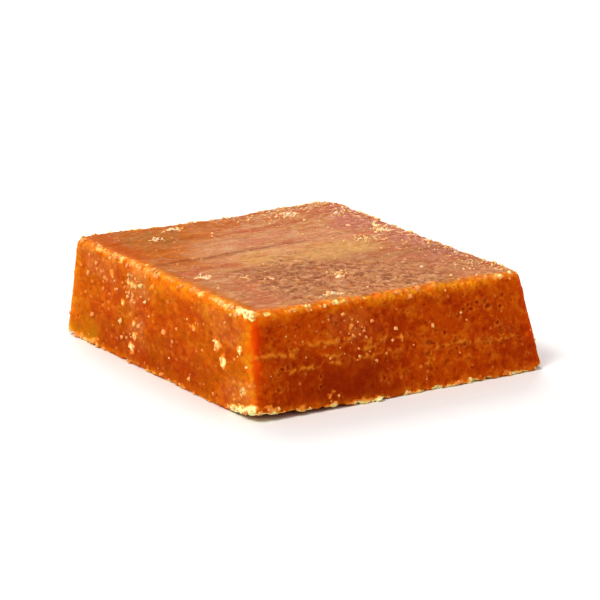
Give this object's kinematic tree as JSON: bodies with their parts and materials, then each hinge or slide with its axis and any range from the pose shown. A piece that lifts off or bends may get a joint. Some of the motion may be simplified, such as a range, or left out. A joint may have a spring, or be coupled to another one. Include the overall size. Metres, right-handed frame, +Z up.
{
  "type": "jaggery block",
  "caption": "Moulded jaggery (unrefined cane sugar) block: a low, square-planned slab whose four sides lean in to the top, lying on its wide face.",
  "frame": {"origin": "on the resting surface, under the middle of the block's box", "axes": "+Z up from the wide lower face to the narrower top face, +X along the front side, +Y from the front side to the back side"},
  "size_m": [0.1064, 0.1137, 0.0322],
  "materials": {
    "cane_sugar": "satin"
  },
  "bodies": {
    "root": {"jaggery_block": "cane_sugar"}
  },
  "joints": []
}
